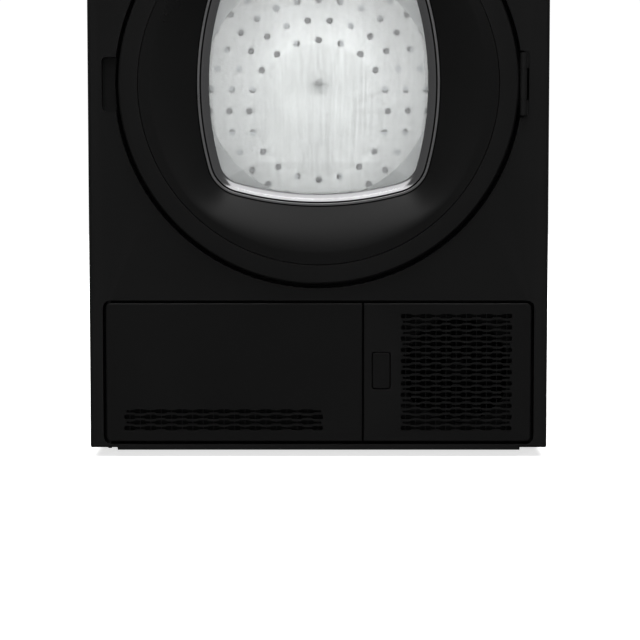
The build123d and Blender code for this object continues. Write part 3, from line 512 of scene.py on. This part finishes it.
def digit(sign, x, z, size):
    """Seven-segment figure with slim bars."""
    half = size / 2
    spots = {"a": (0, size, 0), "g": (0, 0, 0), "d": (0, -size, 0), "f": (-half, half, 1),
             "b": (half, half, 1), "e": (-half, -half, 1), "c": (half, -half, 1)}
    marks = []
    for key in SEGMENTS[sign]:
        u, v, upright = spots[key]
        marks.append(bar(x + u, z + v, size * 0.86, size * 0.16, math.pi / 2 * upright))
    return marks


def printed(name, colour, glow=0.0):
    """Ink, or a lit mark when it glows."""
    g = Graph(name)
    g.set(Specular_IOR_Level=0.3)
    g.blend_colour(g.noise(300.0), lighter(colour, 0.85), lighter(colour, 1.1), g.shader.inputs["Base Color"])
    g.link(g.span(g.noise(200.0), 0.4, 0.6), g.shader.inputs["Roughness"])
    if glow:
        g.set(Emission_Color=(*colour, 1), Emission_Strength=glow)
    return g.material


def centre(node):
    """Middle of a node's box in x and z, and the y of its front face."""
    low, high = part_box(node)
    return (low[0] + high[0]) / 2, (low[2] + high[2]) / 2, low[1]


def dial(pale):
    """Marks around the programme knob."""
    x, z, _ = centre("program_knob")
    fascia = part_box("control_fascia")[0][1]
    stops = 16
    ticks = []
    for step in range(stops - 1):
        angle = math.pi / 2 + (step + 1) * 2 * math.pi / stops
        reach = 26.2 * MM if step % 5 else 26.8 * MM
        tick = bar(x + reach * math.cos(angle), z + reach * math.sin(angle), 2.2 * MM, 0.7 * MM, angle)
        ticks.append(tick)
    join_marks("dial_ticks", ticks, fascia, pale, "key_plastic", "cabinet")


def display():
    """Time left in figures, with three lamps beside it."""
    x, z, front = centre("display_window")
    lit = printed("display_light", (0.75, 0.85, 0.9), 1.6)
    figures = []
    for sign, shift in (("1", -20 * MM), ("3", -4 * MM), ("0", 7 * MM)):
        figures += digit(sign, x + shift, z, 5.6 * MM)
    figures += [bar(x - 12 * MM, z + v * MM, 1.2 * MM, 1.2 * MM, 0) for v in (2.2, -2.2)]
    figures += [bar(x + 26 * MM, z + v * MM, 5 * MM, 0.9 * MM, 0) for v in (-6, 0, 6)]
    join_marks("display_figures", figures, front, lit, "screen", "cabinet")


def button_signs(pale):
    """Start and pause sign, and a dash on the option button."""
    x, z, front = centre("start_button")
    triangle = [(x - 7.5 * MM, z - 3.5 * MM), (x - 1.5 * MM, z), (x - 7.5 * MM, z + 3.5 * MM)]
    pause = [bar(x + shift, z, 7 * MM, 1.3 * MM, math.pi / 2) for shift in (3 * MM, 6 * MM)]
    join_marks("start_sign", [triangle] + pause, front, pale, "key_plastic", "start_button")
    x, z, front = centre("option_button")
    join_marks("option_sign", [bar(x, z, 8 * MM, 1.2 * MM, 0)], front, pale, "key_plastic", "option_button")


def knob_pointer():
    """Line on the programme knob."""
    x, z, front = centre("program_knob")
    white = printed("pointer_print", (0.8, 0.8, 0.8))
    line = [bar(x, z + 16.5 * MM, 6 * MM, 1.2 * MM, math.pi / 2)]
    join_marks("knob_pointer", line, front, white, "key_plastic", "program_knob")


def controls():
    pale = printed("dial_print", (0.5, 0.5, 0.5))
    dial(pale)
    display()
    button_signs(pale)
    knob_pointer()


controls()


# ---------------------------------------------------------------- studio

BACKDROP_GLOW = 1.05


def soft_light(name, place, target, size, power):
    """White rectangular lamp aimed at a point."""
    lamp = bpy.data.lights.new(name, "AREA")
    lamp.shape = "RECTANGLE"
    lamp.size, lamp.size_y = size
    lamp.energy = power
    rig = bpy.data.objects.new(name, lamp)
    rig.location = place
    aim = Vector(target) - Vector(place)
    rig.rotation_euler = aim.to_track_quat("-Z", "Y").to_euler()
    bpy.context.scene.collection.objects.link(rig)
    return rig


def lights():
    """Two lamps that shape the front, a fill from in front, one for the floor and one in the drum."""
    soft_light("front_top", (0, -2.3, 2.7), (0, -0.28, 0.33), (2.6, 2.2), 20)
    soft_light("overhead_box", (0, -0.55, 3.0), (0, -0.2, 0.3), (1.5, 1.4), 54)
    front_fill = soft_light("front_fill", (0, -3.4, 0.6), (0, -0.28, 0.35), (3.0, 1.2), 23)
    soft_light("floor_fill", (0, 1.3, 3.4), (0, 1.3, 0), (6.0, 4.0), 330)
    drum_lamp = soft_light("drum_lamp", (0, -0.15, 0.62), (0, 0.2, 0.36), (0.3, 0.1), 1.4)
    for lamp in (front_fill, drum_lamp):
        lamp.visible_camera = False
        lamp.visible_glossy = False


def stage_piece(name, points, faces, material):
    """Part of the set that doesn't reflect in the object or light it."""
    mesh = bpy.data.meshes.new(name)
    mesh.from_pydata(points, [], faces)
    mesh.materials.append(material)
    piece = bpy.data.objects.new(name, mesh)
    bpy.context.scene.collection.objects.link(piece)
    piece.visible_glossy = False
    piece.visible_diffuse = False
    return piece


def floor():
    """Pale floor with a painted glow: weak near the machine, where a soft cast shadow stays, and rising away
    from it until it melts into the backdrop.
    """
    g = Graph("studio_floor")
    g.set(Base_Color=(0.86, 0.86, 0.86, 1), Specular_IOR_Level=0.1, Emission_Color=(1, 1, 1, 1))
    g.link(g.span(g.noise(3.0), 0.85, 0.95), g.shader.inputs["Roughness"])
    away = g.add("ShaderNodeVectorMath", operation="LENGTH")
    g.link(g.coordinates(), away.inputs[0])
    # painted light: the floor's own glow rises with the distance from the machine
    glow = g.span(away.outputs["Value"], 0.72, BACKDROP_GLOW, 1.1, 2.4)
    g.link(glow, g.shader.inputs["Emission Strength"])
    half = 9.0
    corners = [(-half, -half, 0), (half, -half, 0), (half, half, 0), (-half, half, 0)]
    stage_piece("studio_floor", corners, [(0, 1, 2, 3)], g.material)


def backdrop():
    """White drum around the set, seen only from inside."""
    glow = bpy.data.materials.new("studio_backdrop")
    glow.use_nodes = True
    nodes = glow.node_tree.nodes
    nodes.clear()
    emission = nodes.new("ShaderNodeEmission")
    emission.inputs["Strength"].default_value = BACKDROP_GLOW
    clear = nodes.new("ShaderNodeBsdfTransparent")
    side = nodes.new("ShaderNodeNewGeometry")
    choose = nodes.new("ShaderNodeMixShader")
    output = nodes.new("ShaderNodeOutputMaterial")
    links = glow.node_tree.links
    links.new(side.outputs["Backfacing"], choose.inputs["Fac"])
    links.new(emission.outputs[0], choose.inputs[1])
    links.new(clear.outputs[0], choose.inputs[2])
    links.new(choose.outputs[0], output.inputs["Surface"])
    count = 48
    radius = 6
    height = 7
    corners = []
    quads = []
    for i in range(count):
        angle = 2 * math.pi * i / count
        after = (i + 1) % count
        corners += [(radius * math.cos(angle), radius * math.sin(angle), z) for z in (0, height)]
        quads.append((2 * i, 2 * i + 1, 2 * after + 1, 2 * after))
    wall = stage_piece("studio_backdrop", corners, quads, glow)
    wall.visible_shadow = False


def studio():
    """Plain pale set with soft light."""
    scene = bpy.context.scene
    scene.view_settings.view_transform = "Standard"
    world = bpy.data.worlds.new("studio_world")
    scene.world = world
    world.use_nodes = True
    world.node_tree.nodes["Background"].inputs["Color"].default_value = (0.1, 0.1, 0.1, 1)
    lights()
    floor()
    backdrop()


def camera():
    """Frontal view from hip height, tilted a little downwards."""
    data = bpy.data.cameras.new("camera")
    rig = bpy.data.objects.new("camera", data)
    bpy.context.scene.collection.objects.link(rig)
    distance = 3.0
    pitch = math.radians(4.8)
    view_width = 5 / 6
    look_x = 0.0019
    look_z = 0.1794
    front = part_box("front_panel")[0][1]
    data.lens = data.sensor_width * distance / view_width
    rig.location = (look_x, front - distance * math.cos(pitch), look_z + distance * math.sin(pitch))
    rig.rotation_euler = (math.pi / 2 - pitch, 0, 0)
    bpy.context.scene.camera = rig


studio()
camera()
